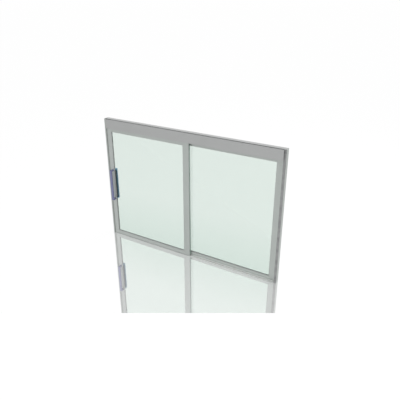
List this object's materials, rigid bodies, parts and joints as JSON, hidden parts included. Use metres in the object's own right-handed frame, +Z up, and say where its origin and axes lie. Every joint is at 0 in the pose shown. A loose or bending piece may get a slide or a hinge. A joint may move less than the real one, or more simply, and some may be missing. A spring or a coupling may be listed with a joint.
{
  "type": "glass sliding patio door",
  "caption": "Aluminium patio door: a two-track frame with a fixed glazed panel behind and a glazed panel on rollers that slides across it by a pull.",
  "frame": {"origin": "underside of the sill, at the middle of its length and depth", "axes": "+X along the width to the right, +Y from the front face to the back, +Z up"},
  "size_m": [3.048, 0.168, 2.02],
  "materials": {
    "anodised_frame": "satin silver anodised",
    "clear_glass": "clear float glass, faint green",
    "rubber_seal": "matt black",
    "spacer_bar": "mill aluminium",
    "plastic_block": "matt",
    "roller_plastic": "smooth nylon",
    "stainless": "brushed stainless",
    "blue_pull": "satin blue"
  },
  "bodies": {
    "frame": {"head": "anodised_frame", "sill": "anodised_frame", "left_jamb": "anodised_frame", "right_jamb": "anodised_frame", "left_perimeter_seal": "rubber_seal", "right_perimeter_seal": "rubber_seal", "head_perimeter_seal": "rubber_seal", "roller_track": "stainless", "travel_stop": "rubber_seal", "closing_buffers": "rubber_seal", "fixed_meeting_stile": "anodised_frame", "fixed_jamb_stile": "anodised_frame", "fixed_top_rail": "anodised_frame", "fixed_bottom_rail": "anodised_frame", "fixed_front_bead": "anodised_frame", "fixed_rear_bead": "anodised_frame", "fixed_front_gasket": "rubber_seal", "fixed_rear_gasket": "rubber_seal", "fixed_front_pane": "clear_glass", "fixed_rear_pane": "clear_glass", "fixed_glass_spacer": "spacer_bar", "fixed_setting_blocks": "plastic_block"},
    "sliding_panel": {"lock_stile": "anodised_frame", "sliding_meeting_stile": "anodised_frame", "sliding_top_rail": "anodised_frame", "sliding_bottom_rail": "anodised_frame", "sliding_front_bead": "anodised_frame", "sliding_rear_bead": "anodised_frame", "sliding_front_gasket": "rubber_seal", "sliding_rear_gasket": "rubber_seal", "sliding_front_pane": "clear_glass", "sliding_rear_pane": "clear_glass", "sliding_glass_spacer": "spacer_bar", "sliding_setting_blocks": "plastic_block", "left_roller_wheel": "roller_plastic", "left_roller_housing": "stainless", "left_roller_axle": "stainless", "right_roller_wheel": "roller_plastic", "right_roller_housing": "stainless", "right_roller_axle": "stainless", "front_pull_handle": "blue_pull", "rear_pull_handle": "blue_pull"}
  },
  "joints": [
    {"name": "panel_slide", "type": "slide", "parent": "frame", "child": "sliding_panel", "axis": [1, 0, 0], "range_m": [0, 1.2925]}
  ]
}
